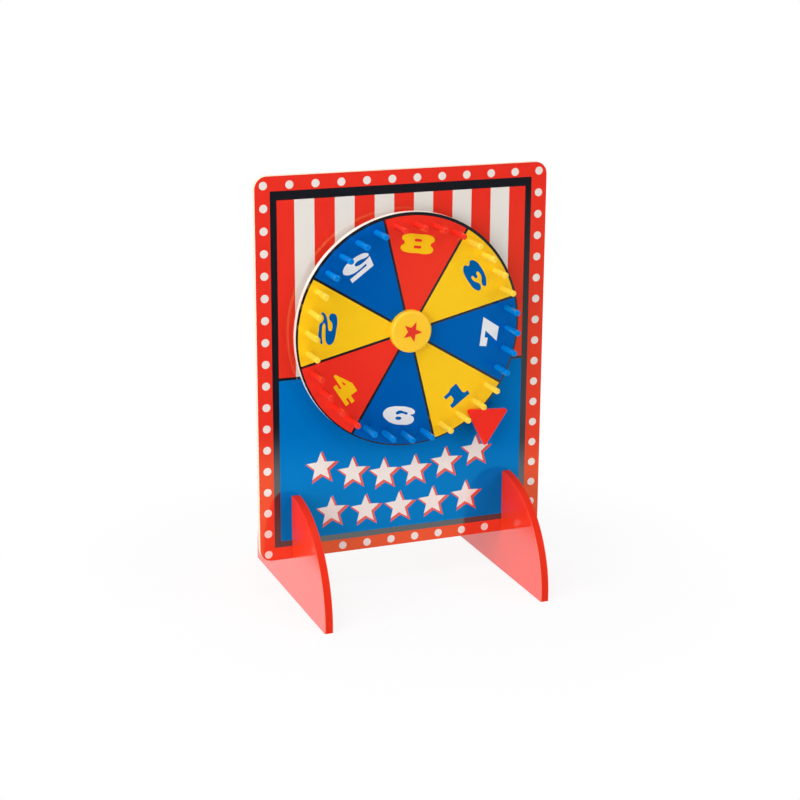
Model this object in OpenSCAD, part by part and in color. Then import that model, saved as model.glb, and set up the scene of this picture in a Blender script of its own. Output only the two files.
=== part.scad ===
// Carnival game wheel that stands on a table.
// A printed board slots into two half-round feet. A wheel with eight segments and a ring of pegs
// turns on a bolt through the board, and a hanging pointer clicks past the pegs.
// Millimetres, floor at z = 0, front towards -Y, origin midway between the ends of the feet.

/* [Board] */
// Width of the board
board_w = 300; // [280:2:360]
// Height of the board
board_h = 380; // [370:2:440]
// Thickness of the board
board_t = 6; // [4:0.5:10]
// Radius of the board's corners
board_corner_r = 12; // [4:1:20]
// Height of the board's lower edge above the floor
board_lift = 42; // [30:1:60]
// Thickness of the printed sheets on the board and the wheel
print_t = 0.3; // [0.2:0.05:0.6]

/* [Feet] */
// Radius of the feet's round ends
foot_r = 101; // [90:1:115]
// How much further a foot reaches behind the board than in front of it
foot_tail = 16; // [5:1:40]
// Thickness of a foot
foot_t = 8.5; // [6:0.5:12]
// Height of the round ends' centres above the floor
foot_centre_h = 6; // [2:0.5:12]
// Distance between the middles of the two feet
foot_spacing = 226; // [200:2:240]
// Rounding along a foot's curved edges
foot_edge_r = 0.8; // [0.3:0.1:1.5]

/* [Wheel] */
// Diameter of the wheel
wheel_d = 232; // [210:1:250]
// Thickness of the wheel
wheel_t = 6.5; // [5.5:0.5:10]
// Height of the wheel's axle above the board's lower edge
axle_h = 225; // [215:1:240]
// Turn of the wheel at rest, clockwise from the front, in degrees
wheel_turn = 8.9; // [0:0.1:11]

/* [Pegs] */
// Diameter of a peg
peg_d = 6; // [4:0.5:7]
// Length of a peg in front of the wheel
peg_reach = 26.5; // [18:0.5:35]
// Depth of a peg's hole in the wheel
peg_depth = 4.5; // [2.5:0.5:5]
// Distance from the wheel's edge to the middle of a peg
peg_inset = 12; // [10:0.5:16]
// Rounding of a peg's end
peg_edge_r = 1.2; // [0.4:0.1:1.8]
// Pegs in each segment of the wheel
pegs_per_segment = 4; // [2:1:4]

/* [Hub] */
// Diameter of the hub cap
cap_d = 42; // [36:1:60]
// Height of the hub cap in front of the wheel
cap_h = 7; // [6.5:0.5:12]
// Rounding of the hub cap's edge
cap_edge_r = 3; // [1:0.5:5]
// Thickness of the hub cap's face
cap_wall = 2.4; // [1.5:0.1:2.9]
// Depth of the hub cap's collar in the wheel
cap_collar_h = 2.4; // [1:0.2:2.6]
// Thickness of the hub cap's collar
cap_collar_t = 2; // [1:0.2:2.5]
// Diameter of the recess in the middle of the wheel
recess_d = 26; // [25:0.5:32]
// Depth of the recess in the middle of the wheel
recess_h = 3.5; // [3.3:0.1:4]
// Centre to point of the star on the hub cap
star_r = 10.3; // [6:0.1:14]
// Centre to notch of the star on the hub cap
star_notch_r = 4.4; // [3:0.1:5.5]
// Turn of the star at rest, clockwise from the front, in degrees
star_turn = 24; // [0:1:71]

/* [Axle] */
// Diameter of the axle bolt
axle_d = 6; // [5:0.5:7]
// Width across the flats of the bolt's head and its nuts
hex_af = 10; // [9:0.5:12]
// Height of the bolt's head
head_h = 4; // [3:0.5:6]
// Thickness of the nut that clamps the bolt to the board
clamp_nut_t = 5; // [4:0.5:8]
// Thickness of the nut that keeps the wheel on
lock_nut_t = 3.2; // [2.5:0.1:3.4]
// Length of the bolt past the last nut
axle_tip = 0.8; // [0.4:0.1:1]
// Diameter of the washers on the board
washer_d = 18; // [14:1:24]
// Thickness of the washers on the bolt
washer_t = 1.6; // [1:0.1:1.8]
// Diameter of the washer that keeps the wheel on
keeper_d = 16; // [13:0.5:18]
// Diameter of the slip washer behind the wheel
slip_d = 20; // [16:1:26]
// Thickness of the slip washer behind the wheel
slip_t = 1.2; // [0.8:0.1:3]
// Diameter of the bush in the wheel
bush_d = 12; // [10:0.5:15]
// Diameter of the bush's flange
flange_d = 20; // [17:0.5:20.5]
// Thickness of the bush's flange
flange_t = 1.2; // [0.8:0.1:1.3]

/* [Pointer] */
// Centre to corner of the pointer
pointer_r = 24; // [20:0.5:30]
// Thickness of the pointer
pointer_t = 3; // [2:0.25:5]
// Radius of the pointer's corners
pointer_corner_r = 2; // [1:0.1:2.2]
// Gap between the wheel's face and the back of the pointer
pointer_gap = 1.5; // [0.8:0.1:4]
// How far the pointer's tip reaches inside the outer circle of the pegs
tip_overlap = 0.7; // [0.3:0.1:0.8]
// Lead of the pointer's tip past the middle of the gap between two pegs, in degrees
tip_lead = 0.4; // [0.3:0.05:0.5]
// Turn of the pointer at rest, clockwise from the front, in degrees
pointer_turn = 4; // [0:0.5:8]
// Height of the pivot above the pointer's middle
pivot_rise = 3; // [1:0.5:5]
// Diameter of the pointer's stem
stem_d = 6; // [5:0.25:6.5]
// Diameter of the sleeve that carries the stem
sleeve_d = 10; // [9:0.25:11]
// Diameter of the sleeve's end in the board
spigot_d = 8; // [7.5:0.25:8.5]
// Diameter of the washer behind the board
stem_washer_d = 14; // [12:0.5:20]
// Thickness of the washer behind the board
stem_washer_t = 1.2; // [0.8:0.1:2]
// Diameter of the screw in the stem
screw_d = 2.5; // [2:0.1:3]
// Depth of the screw in the stem
screw_l = 10; // [6:0.5:14]
// Diameter of the screw's head
screw_head_d = 6; // [5:0.25:9]
// Height of the screw's head
screw_head_h = 2.2; // [1.5:0.1:3]

/* [Fits] */
// Radial clearance of what turns on or in another piece
run_clear = 0.05; // [0.02:0.01:0.1]
// Radial clearance of what is pressed, screwed or glued in
seat_clear = 0.03; // [0.01:0.01:0.1]
// Clearance on each side of a slot between board and foot
slot_clear = 0.15; // [0.05:0.05:0.3]
// End play of the wheel and the pointer along their axles
end_play = 0.2; // [0.1:0.05:0.4]

/* [Hidden] */
$fn = 96;

// Colours of the segments, clockwise from the one at the top
segment_colours = ["red", "yellow", "blue", "yellow", "blue", "red", "yellow", "blue"];
segments = len(segment_colours);
segment_angle = 360 / segments;
peg_pitch = segment_angle / pegs_per_segment;

// Heights on the face of the board, which is drawn lying on its back and then stood up
board_top = board_lift + board_h;
axle_y = board_lift + axle_h;

// Place of the board's middle, forward of the origin by half of what the feet reach further back
board_y = -foot_tail / 2;

// Levels across the board's thickness, counted towards the front
board_back = -board_t / 2;
board_front = board_t / 2;
print_front = board_front + print_t;
clamp_nut_back = print_front + washer_t;
slip_back = clamp_nut_back + clamp_nut_t;
wheel_back = slip_back + slip_t;
wheel_front = wheel_back + wheel_t;
wheel_print_front = wheel_front + print_t;
recess_floor = wheel_front - recess_h;
flange_front = recess_floor + flange_t;
keeper_back = flange_front + end_play;
lock_nut_back = keeper_back + washer_t / 2;
axle_end = lock_nut_back + lock_nut_t + axle_tip;
bolt_head_front = board_back - washer_t;
cap_front = wheel_print_front + cap_h;
pointer_back = wheel_print_front + pointer_gap;
sleeve_front = pointer_back - end_play;
stem_end = board_back - end_play;

// The slots in board and foot share the height over which the two cross
slot_w = board_t + print_t + 2 * slot_clear;
foot_top = foot_centre_h + foot_r;
slot_seat = (board_lift + foot_top) / 2;

// Ring of pegs, and the pointer's tip in the gap below the fourth segment's middle
wheel_r = wheel_d / 2;
peg_ring_r = wheel_r - peg_inset;
pointer_segment = 3;
tip_gap = (pegs_per_segment % 2) * peg_pitch / 2;
tip_angle = 90 - wheel_turn - pointer_segment * segment_angle + tip_gap - tip_lead;
tip_ring_r = peg_ring_r + peg_d / 2 - tip_overlap;
tip_corner = 150;
pointer_mid = [0, axle_y] + tip_ring_r * unit(tip_angle) - pointer_r * unit(tip_corner - pointer_turn);
pivot = pointer_mid + [0, pivot_rise];

cut = 1;

function unit(a) = [cos(a), sin(a)];
function segment_mid(i) = 90 - wheel_turn - i * segment_angle;
function peg_angle(i, j) = segment_mid(i) + (j - (pegs_per_segment - 1) / 2) * peg_pitch;
function in_colour(colour) = [for (i = [0:segments - 1]) if (segment_colours[i] == colour) i];

// Stands what is drawn face up on the floor upright, in the board's place, with its face to the front
module upright() {
    translate([0, board_y, 0]) rotate([90, 0, 0]) children();
}

// A disc or bar along the drawing's height, from one level to another
module between(low, high) {
    translate([0, 0, low]) linear_extrude(high - low) children();
}

module at_axle() {
    upright() translate([0, axle_y, 0]) children();
}

module at_pivot() {
    upright() translate([pivot[0], pivot[1], 0]) children();
}

module washer(outer_d, hole_d, low, high) {
    between(low, high) difference() {
        circle(d = outer_d);
        circle(d = hole_d);
    }
}

module hexagon(af) {
    circle(d = af / cos(30), $fn = 6);
}

module hex_nut(low, high) {
    between(low, high) difference() {
        hexagon(hex_af);
        circle(d = axle_d + 2 * seat_clear);
    }
}

// Rectangle with round corners, its lower edge on the x axis
module round_panel(w, h, r) {
    translate([-w / 2, r]) square([w, h - 2 * r]);
    translate([-w / 2 + r, 0]) square([w - 2 * r, h]);
    for (x = [-1, 1], y = [r, h - r]) {
        translate([x * (w / 2 - r), y]) circle(r);
    }
}

// Face of the board, with its two foot slots and the holes for axle and sleeve
module board_face() {
    foot_slot_w = foot_t + 2 * slot_clear;
    difference() {
        translate([0, board_lift]) round_panel(board_w, board_h, board_corner_r);
        for (side = [-1, 1]) {
            translate([side * foot_spacing / 2 - foot_slot_w / 2, board_lift - cut])
                square([foot_slot_w, slot_seat - board_lift + cut]);
        }
        translate([0, axle_y]) circle(d = axle_d + 2 * run_clear);
        translate(pivot) circle(d = spigot_d + 2 * seat_clear);
    }
}

// Section through a foot from its centre to its rounded rim
module foot_section() {
    translate([0, -foot_t / 2]) square([foot_r - foot_edge_r, foot_t]);
    translate([0, foot_edge_r - foot_t / 2]) square([foot_r, foot_t - 2 * foot_edge_r]);
    for (side = [-1, 1]) {
        translate([foot_r - foot_edge_r, side * (foot_t / 2 - foot_edge_r)]) circle(foot_edge_r);
    }
}

// Front half of a disc that lies on its side, round axis x
module foot_end() {
    difference() {
        rotate([0, 90, 0]) rotate_extrude() foot_section();
        translate([-foot_t, 0, -foot_r - cut]) cube([2 * foot_t, foot_r + cut, 2 * (foot_r + cut)]);
    }
}

// Straight length between the two round ends
module foot_middle() {
    rotate([0, -90, -90]) linear_extrude(foot_tail) {
        foot_section();
        translate([-foot_r, -foot_t / 2]) square([foot_r, foot_t]);
    }
}

// Rounded plate that stands on its flat, with a slot from the top for the board
module foot(side) {
    slot_front = -print_front - slot_clear;
    translate([side * foot_spacing / 2, board_y, 0]) difference() {
        translate([0, 0, foot_centre_h]) {
            foot_end();
            translate([0, foot_tail, 0]) rotate([0, 0, 180]) foot_end();
            foot_middle();
        }
        translate([-foot_t, -2 * foot_r, -2 * foot_r]) cube([2 * foot_t, 5 * foot_r, 2 * foot_r]);
        translate([-foot_t, slot_front, slot_seat]) cube([2 * foot_t, slot_w, foot_r]);
    }
}

// Peg with a rounded end, standing on the bottom of its hole
module peg() {
    r = peg_d / 2;
    l = peg_depth + print_t + peg_reach;
    rotate_extrude() {
        square([r, l - peg_edge_r]);
        square([r - peg_edge_r, l]);
        translate([r - peg_edge_r, l - peg_edge_r]) intersection() {
            circle(peg_edge_r);
            square(peg_edge_r);
        }
    }
}

module pegs(colour) {
    at_axle() for (i = in_colour(colour), j = [0:pegs_per_segment - 1]) {
        translate(concat(peg_ring_r * unit(peg_angle(i, j)), wheel_front - peg_depth)) peg();
    }
}

module peg_holes(depth) {
    for (i = [0:segments - 1], j = [0:pegs_per_segment - 1]) {
        translate(concat(peg_ring_r * unit(peg_angle(i, j)), wheel_front - depth))
            cylinder(d = peg_d + 2 * seat_clear, h = depth + print_t + cut);
    }
}

// Triangle with round corners, one corner straight down, round its middle
module pointer_face() {
    reach = pointer_r - pointer_corner_r;
    corners = [tip_corner, tip_corner + 120, tip_corner + 240];
    polygon([for (a = corners, s = [-60, 60]) reach * unit(a) + pointer_corner_r * unit(a + s)]);
    for (a = corners) {
        translate(reach * unit(a)) circle(pointer_corner_r);
    }
}

module back_board() {
    color("moccasin") upright() between(board_back, board_front) board_face();
}

module board_print() {
    color("orangered") upright() between(board_front, print_front) board_face();
}

module left_foot() {
    color("red") foot(-1);
}

module right_foot() {
    color("red") foot(1);
}

module axle_bolt() {
    color("silver") at_axle() {
        between(bolt_head_front - head_h, bolt_head_front) hexagon(hex_af);
        between(bolt_head_front - head_h / 2, axle_end) circle(d = axle_d);
    }
}

module axle_back_washer() {
    color("silver") at_axle() washer(washer_d, axle_d + 2 * run_clear, bolt_head_front, board_back);
}

module axle_front_washer() {
    color("silver") at_axle() washer(washer_d, axle_d + 2 * run_clear, print_front, clamp_nut_back);
}

module axle_clamp_nut() {
    color("silver") at_axle() hex_nut(clamp_nut_back, slip_back);
}

module slip_washer() {
    color("ivory") at_axle() washer(slip_d, axle_d + 2 * run_clear, slip_back, wheel_back);
}

module keeper_washer() {
    color("silver") at_axle() washer(keeper_d, axle_d + 2 * run_clear, keeper_back, lock_nut_back);
}

module lock_nut() {
    color("silver") at_axle() hex_nut(lock_nut_back, lock_nut_back + lock_nut_t);
}

// Sleeve pressed into the board, which holds the pointer out past the wheel's face
module pointer_sleeve() {
    bore_d = stem_d + 2 * run_clear;
    color("red") at_pivot() {
        washer(spigot_d, bore_d, board_back, print_front);
        washer(sleeve_d, bore_d, print_front, sleeve_front);
    }
}

module wheel_disc() {
    color("white") at_axle() difference() {
        between(wheel_back, wheel_front) circle(wheel_r, $fn = 180);
        between(recess_floor, wheel_front + cut) circle(d = recess_d);
        between(wheel_back - cut, wheel_front) circle(d = bush_d + 2 * seat_clear);
        peg_holes(peg_depth);
    }
}

module wheel_print() {
    color("gold") at_axle() difference() {
        between(wheel_front, wheel_print_front) circle(wheel_r, $fn = 180);
        between(wheel_front - cut, wheel_print_front + cut) circle(d = recess_d);
        peg_holes(cut);
    }
}

module wheel_bush() {
    bore_d = axle_d + 2 * run_clear;
    color("ivory") at_axle() {
        washer(bush_d, bore_d, wheel_back, recess_floor);
        washer(flange_d, bore_d, recess_floor, flange_front);
    }
}

module pegs_red() {
    color("red") pegs("red");
}

module pegs_yellow() {
    color("gold") pegs("yellow");
}

module pegs_blue() {
    color("dodgerblue") pegs("blue");
}

// Cap over the nut, with a collar that grips the recess in the wheel
module hub_cap() {
    cap_r = cap_d / 2;
    collar_r = recess_d / 2 - seat_clear;
    cavity_r = recess_d / 2 - cap_collar_t;
    color("gold") at_axle() rotate_extrude() difference() {
        union() {
            translate([0, wheel_print_front]) square([cap_r, cap_h - cap_edge_r]);
            translate([0, wheel_print_front]) square([cap_r - cap_edge_r, cap_h]);
            translate([cap_r - cap_edge_r, cap_front - cap_edge_r]) intersection() {
                circle(cap_edge_r);
                square(cap_edge_r);
            }
            translate([0, wheel_front - cap_collar_h]) square([collar_r, cap_collar_h + cap_wall]);
        }
        translate([0, wheel_back]) square([cavity_r, cap_front - cap_wall - wheel_back]);
    }
}

module hub_star() {
    points = [for (i = [0:9]) (i % 2 == 0 ? star_r : star_notch_r) * unit(90 - star_turn - 36 * i)];
    color("red") at_axle() between(cap_front, cap_front + print_t) polygon(points);
}

// Pointer plate and the stem behind it, one moulding
module pointer() {
    color("red") {
        upright() translate([pointer_mid[0], pointer_mid[1], 0]) rotate([0, 0, -pointer_turn])
            between(pointer_back, pointer_back + pointer_t) pointer_face();
        at_pivot() difference() {
            between(stem_end, pointer_back + pointer_t / 2) circle(d = stem_d);
            between(stem_end - cut, stem_end + screw_l) circle(d = screw_d);
        }
    }
}

module stem_washer() {
    hole_d = screw_d + 2 * run_clear;
    color("silver") at_pivot() washer(stem_washer_d, hole_d, stem_end - stem_washer_t, stem_end);
}

module stem_screw() {
    head_front = stem_end - stem_washer_t;
    color("silver") at_pivot() {
        between(head_front - screw_head_h, head_front) circle(d = screw_head_d);
        between(head_front - screw_head_h / 2, stem_end + screw_l) circle(d = screw_d);
    }
}

back_board();
board_print();
left_foot();
right_foot();
axle_bolt();
axle_back_washer();
axle_front_washer();
axle_clamp_nut();
slip_washer();
keeper_washer();
lock_nut();
pointer_sleeve();
wheel_disc();
wheel_print();
wheel_bush();
pegs_red();
pegs_yellow();
pegs_blue();
hub_cap();
hub_star();
pointer();
stem_washer();
stem_screw();
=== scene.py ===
"""Looks of the carnival game wheel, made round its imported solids. All sizes are in metres."""
import math

import bmesh
import bpy
from mathutils import Matrix, Vector


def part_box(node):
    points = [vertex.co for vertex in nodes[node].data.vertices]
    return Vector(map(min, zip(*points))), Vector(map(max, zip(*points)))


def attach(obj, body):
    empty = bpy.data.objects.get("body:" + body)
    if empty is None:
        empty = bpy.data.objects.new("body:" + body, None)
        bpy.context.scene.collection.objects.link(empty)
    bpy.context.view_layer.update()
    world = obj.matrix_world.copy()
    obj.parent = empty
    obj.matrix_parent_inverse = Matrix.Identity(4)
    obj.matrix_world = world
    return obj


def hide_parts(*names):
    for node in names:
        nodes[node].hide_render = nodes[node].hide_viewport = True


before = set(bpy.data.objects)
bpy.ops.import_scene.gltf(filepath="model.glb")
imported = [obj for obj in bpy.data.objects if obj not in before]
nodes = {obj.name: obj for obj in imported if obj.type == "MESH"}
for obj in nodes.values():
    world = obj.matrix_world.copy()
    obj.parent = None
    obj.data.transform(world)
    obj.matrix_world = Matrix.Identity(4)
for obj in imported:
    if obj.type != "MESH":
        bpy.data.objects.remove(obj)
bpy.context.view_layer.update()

MM = 0.001

# Camera, at the photograph's viewing angle
CAMERA_PLACE = (-0.629, -1.604, 0.682)
CAMERA_TURN = math.radians(21.43)
CAMERA_DIP = math.radians(15.94)
CAMERA_ROLL = math.radians(0.30)
CAMERA_LENS = 81.07
SENSOR_W = 36

# Printed design of the board, measured from its middle
INK_T = 0.04 * MM
PRINT_MID_Z = 231 * MM
DOT_COLUMNS = 12
DOT_ROWS = 18
DOT_GRID_W = 283.2 * MM
DOT_GRID_H = 364.6 * MM
DOT_D = 7.9 * MM
DOT_STEPS = 40
FRAME_LEFT = -135.1 * MM
FRAME_RIGHT = 133.7 * MM
FRAME_SIDE_T = 6.45 * MM
FRAME_TOP = 176.8 * MM
FRAME_TOP_T = 8.75 * MM
FRAME_BOTTOM = -175.9 * MM
FRAME_BOTTOM_T = 6.0 * MM
HORIZON = -5.3 * MM
HORIZON_T = 2.75 * MM
STRIPE_W = 19.85 * MM
STRIPE_PITCH = 40.28 * MM
WHITE_STRIPES = 6
STRIPES_SHIFT = -0.74 * MM

# Stars in two rows below the wheel
STAR_POINTS = 5
STAR_R = 15.3 * MM
STAR_NOTCH_R = 6.7 * MM
STAR_SHADE = 1.2
STAR_SHADE_SHIFT = (1.6 * MM, -1.6 * MM)
TOP_ROW_STARS = 6
TOP_ROW_MID = (-4.5 * MM, -112.0 * MM)
TOP_ROW_PITCH = 33.0 * MM
TOP_ROW_RISE = 14.0 * MM
LOW_ROW_STARS = 5
LOW_ROW_MID = (-4.5 * MM, -148.0 * MM)
LOW_ROW_PITCH = 36.0 * MM
LOW_ROW_RISE = 3.0 * MM

# Printed design of the wheel
SEGMENT_COLOURS = ("red", "yellow", "blue", "yellow", "blue", "red", "yellow", "blue")
SEGMENT_NUMBERS = ("8", "3", "7", "1", "6", "4", "2", "5")
FIRST_SEGMENT_TURN = math.radians(9.0)
DIVIDER_T = 2.5 * MM
RIM_LINE_T = 2.2 * MM
PRINT_DROP = 1.0 * MM
NUMBER_R = 85.3 * MM
# Clockwise shift of each number from the middle of its segment, in millimetres
NUMBER_SHIFTS = {
    "8": -4.9, "3": 0.3, "7": -4.5, "1": -0.4, "6": -2.7, "4": -2.3, "2": -4.7, "5": -3.8
}
# Outward shift and clockwise tilt of the numbers that have one
NUMBER_LIFTS = {"3": -0.55 * MM}
NUMBER_TILTS = {"4": math.radians(3.5)}
# The segments' inner ends lie hidden under the hub cap
HUB_TUCK = 1.5 * MM
ARC_STEPS = 40

# Places read from the solids
board_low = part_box("back_board")[0]
board_face_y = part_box("board_print")[0].y
wheel_low, wheel_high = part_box("wheel_print")
wheel_face_y = wheel_low.y
wheel_r = (wheel_high.x - wheel_low.x) / 2
axle_x = (wheel_high.x + wheel_low.x) / 2
axle_z = (wheel_high.z + wheel_low.z) / 2
cap_low, cap_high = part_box("hub_cap")
cap_r = (cap_high.x - cap_low.x) / 2
# The feet's slots reach half-way up where board and feet cross
slot_top_z = (board_low.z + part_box("left_foot")[1].z) / 2

STAND_UP = Matrix.Rotation(math.radians(90), 4, "X")


# Colours and node helpers


def swatch(red, green, blue):
    """Linear colour from the eight-bit values of a paint swatch."""
    parts = [value / 255 for value in (red, green, blue)]
    linear = [p / 12.92 if p <= 0.04045 else ((p + 0.055) / 1.055) ** 2.4 for p in parts]
    return (*linear, 1.0)


def place_node(tree, kind, sockets=None, **settings):
    """Adds a node to a tree, with its settings and the values of its sockets."""
    node = tree.nodes.new(kind)
    for name, value in settings.items():
        setattr(node, name, value)
    for name, value in (sockets or {}).items():
        node.inputs[name].default_value = value
    return node


def open_group(name, kind, inputs, outputs):
    """Starts a node group with named sockets and gives its tree, its input and its output node."""
    tree = bpy.data.node_groups.new(name, kind)
    for label, socket, value in inputs:
        made = tree.interface.new_socket(label, in_out="INPUT", socket_type=socket)
        if value is not None:
            made.default_value = value
    for label, socket in outputs:
        tree.interface.new_socket(label, in_out="OUTPUT", socket_type=socket)
    return tree, tree.nodes.new("NodeGroupInput"), tree.nodes.new("NodeGroupOutput")


def feed(tree, given, node, sockets):
    """Links sockets of a node to inputs of its group, by the names of both."""
    for socket, label in sockets.items():
        tree.links.new(given.outputs[label], node.inputs[socket])


COLOUR = "NodeSocketColor"
NUMBER = "NodeSocketFloat"
COUNT = "NodeSocketInt"
GEOMETRY = "NodeSocketGeometry"
MATERIAL = "NodeSocketMaterial"

# Sockets that share a name with others on their node: a colour Mix, and a Compare of whole numbers
MIX_SHARE, MIX_FIRST, MIX_SECOND, MIX_RESULT = 0, 6, 7, 2
COMPARE_FIRST, COMPARE_SECOND = 2, 3

# Smears lie askew and are drawn out along one axis
SMEAR_TURN = (0.3, 0.5, 0.4)
SMEAR_STRETCH = (1.0, 1.0, 3.0)

# Highest product of a share and the rest of it, which marks the middle of a rounded edge
EDGE_PEAK = 0.25


# Shared surface effects


def make_mottle():
    """Slow patches and fine flecks in a colour, as in ink, paint and moulded plastic."""
    inputs = [
        ("Colour", COLOUR, (1, 1, 1, 1)),
        ("Patch", NUMBER, 0.05),
        ("Patch Scale", NUMBER, 20),
        ("Fleck", NUMBER, 0.03),
        ("Fleck Scale", NUMBER, 900),
    ]
    tree, given, result = open_group("colour_mottle", "ShaderNodeTree", inputs, [("Colour", COLOUR)])
    where = place_node(tree, "ShaderNodeTexCoord")
    patch = place_node(tree, "ShaderNodeTexNoise", {"Detail": 3.0, "Roughness": 0.5})
    fleck = place_node(tree, "ShaderNodeTexNoise", {"Detail": 2.0, "Roughness": 0.6})
    link = tree.links.new
    total = None
    for noise, scale, amount in ((patch, "Patch Scale", "Patch"), (fleck, "Fleck Scale", "Fleck")):
        link(where.outputs["Object"], noise.inputs["Vector"])
        link(given.outputs[scale], noise.inputs["Scale"])
        centred = place_node(tree, "ShaderNodeMath", operation="SUBTRACT")
        centred.inputs[1].default_value = 0.5
        link(noise.outputs["Fac"], centred.inputs[0])
        weighted = place_node(tree, "ShaderNodeMath", operation="MULTIPLY_ADD")
        weighted.inputs[2].default_value = 1.0
        link(centred.outputs[0], weighted.inputs[0])
        link(given.outputs[amount], weighted.inputs[1])
        if total is not None:
            link(total.outputs[0], weighted.inputs[2])
        total = weighted
    shade = place_node(tree, "ShaderNodeHueSaturation")
    link(given.outputs["Colour"], shade.inputs["Color"])
    link(total.outputs[0], shade.inputs["Value"])
    link(shade.outputs["Color"], result.inputs["Colour"])
    return tree


def make_smears():
    """Roughness that changes a little where hands and cloths have passed."""
    inputs = [("Roughness", NUMBER, 0.2), ("Smear", NUMBER, 0.1), ("Scale", NUMBER, 14)]
    tree, given, result = open_group("gloss_smears", "ShaderNodeTree", inputs, [("Roughness", NUMBER)])
    where = place_node(tree, "ShaderNodeTexCoord")
    drawn_out = place_node(tree, "ShaderNodeMapping", {"Rotation": SMEAR_TURN, "Scale": SMEAR_STRETCH})
    noise = place_node(tree, "ShaderNodeTexNoise", {"Detail": 4.0, "Roughness": 0.55})
    centred = place_node(tree, "ShaderNodeMath", operation="SUBTRACT")
    centred.inputs[1].default_value = 0.5
    sum_up = place_node(tree, "ShaderNodeMath", operation="MULTIPLY_ADD", use_clamp=True)
    link = tree.links.new
    link(where.outputs["Object"], drawn_out.inputs["Vector"])
    link(drawn_out.outputs["Vector"], noise.inputs["Vector"])
    link(given.outputs["Scale"], noise.inputs["Scale"])
    link(noise.outputs["Fac"], centred.inputs[0])
    link(centred.outputs[0], sum_up.inputs[0])
    link(given.outputs["Smear"], sum_up.inputs[1])
    link(given.outputs["Roughness"], sum_up.inputs[2])
    link(sum_up.outputs[0], result.inputs["Roughness"])
    return tree


def make_ripple():
    """Height of a surface that isn't quite flat: paint's orange peel, a film's waves, a mould's skin."""
    inputs = [("Depth", NUMBER, 0.004 * MM), ("Scale", NUMBER, 300)]
    tree, given, result = open_group("skin_ripple", "ShaderNodeTree", inputs, [("Height", NUMBER)])
    where = place_node(tree, "ShaderNodeTexCoord")
    noise = place_node(tree, "ShaderNodeTexNoise", {"Detail": 2.0, "Roughness": 0.4})
    deep = place_node(tree, "ShaderNodeMath", operation="MULTIPLY")
    link = tree.links.new
    link(where.outputs["Object"], noise.inputs["Vector"])
    link(given.outputs["Scale"], noise.inputs["Scale"])
    link(noise.outputs["Fac"], deep.inputs[0])
    link(given.outputs["Depth"], deep.inputs[1])
    link(deep.outputs[0], result.inputs["Height"])
    return tree


def make_foot_film():
    """Masks of a foot: the gloss film on its side faces, its rim, and its edges, which carry a pale
    painted highlight.
    """
    inputs = [
        ("Sharpness", NUMBER, 1.2),
        ("Whole Below", NUMBER, 0.045),
        ("Dull Above", NUMBER, 0.090),
        ("Dull Share", NUMBER, 0.08),
    ]
    outputs = [("Film", NUMBER), ("Rim", NUMBER), ("Edge", NUMBER)]
    tree, given, result = open_group("foot_film", "ShaderNodeTree", inputs, outputs)
    where = place_node(tree, "ShaderNodeTexCoord")
    facing = place_node(tree, "ShaderNodeSeparateXYZ")
    sideways = place_node(tree, "ShaderNodeMath", operation="ABSOLUTE")
    side = place_node(tree, "ShaderNodeMath", operation="POWER")
    link = tree.links.new
    link(where.outputs["Normal"], facing.inputs["Vector"])
    link(facing.outputs["X"], sideways.inputs[0])
    link(sideways.outputs[0], side.inputs[0])
    link(given.outputs["Sharpness"], side.inputs[1])

    place = place_node(tree, "ShaderNodeSeparateXYZ")
    link(where.outputs["Object"], place.inputs["Vector"])
    # Near 1 close to the floor and small towards the top: it dulls the film and fades the painted edge
    # highlight.
    upward_fade = place_node(tree, "ShaderNodeMapRange", {"To Min": 1.0}, interpolation_type="SMOOTHSTEP")
    link(place.outputs["Z"], upward_fade.inputs["Value"])
    limits = {"From Min": "Whole Below", "From Max": "Dull Above", "To Max": "Dull Share"}
    feed(tree, given, upward_fade, limits)
    film = place_node(tree, "ShaderNodeMath", operation="MULTIPLY")
    link(side.outputs[0], film.inputs[0])
    link(upward_fade.outputs["Result"], film.inputs[1])
    link(film.outputs[0], result.inputs["Film"])

    # Edges turn from one face to another, so their normals are partly sideways
    rest = place_node(tree, "ShaderNodeMath", operation="SUBTRACT")
    rest.inputs[0].default_value = 1.0
    link(sideways.outputs[0], rest.inputs[1])
    link(rest.outputs[0], result.inputs["Rim"])
    between = place_node(tree, "ShaderNodeMath", operation="MULTIPLY")
    link(sideways.outputs[0], between.inputs[0])
    link(rest.outputs[0], between.inputs[1])
    edge = place_node(tree, "ShaderNodeMath", operation="MULTIPLY", use_clamp=True)
    edge.inputs[1].default_value = 1 / EDGE_PEAK
    link(between.outputs[0], edge.inputs[0])
    # The edge mask, faded towards the top, says where the pale painted highlight lies.
    painted_highlight = place_node(tree, "ShaderNodeMath", operation="MULTIPLY")
    link(edge.outputs[0], painted_highlight.inputs[0])
    link(upward_fade.outputs["Result"], painted_highlight.inputs[1])
    link(painted_highlight.outputs[0], result.inputs["Edge"])
    return tree


mottle_group = make_mottle()
smears_group = make_smears()
ripple_group = make_ripple()
foot_film_group = make_foot_film()


def use_group(material, group, sockets):
    """Places a shared effect in a material with that material's own values."""
    return place_node(material.node_tree, "ShaderNodeGroup", sockets, node_tree=group)


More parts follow.
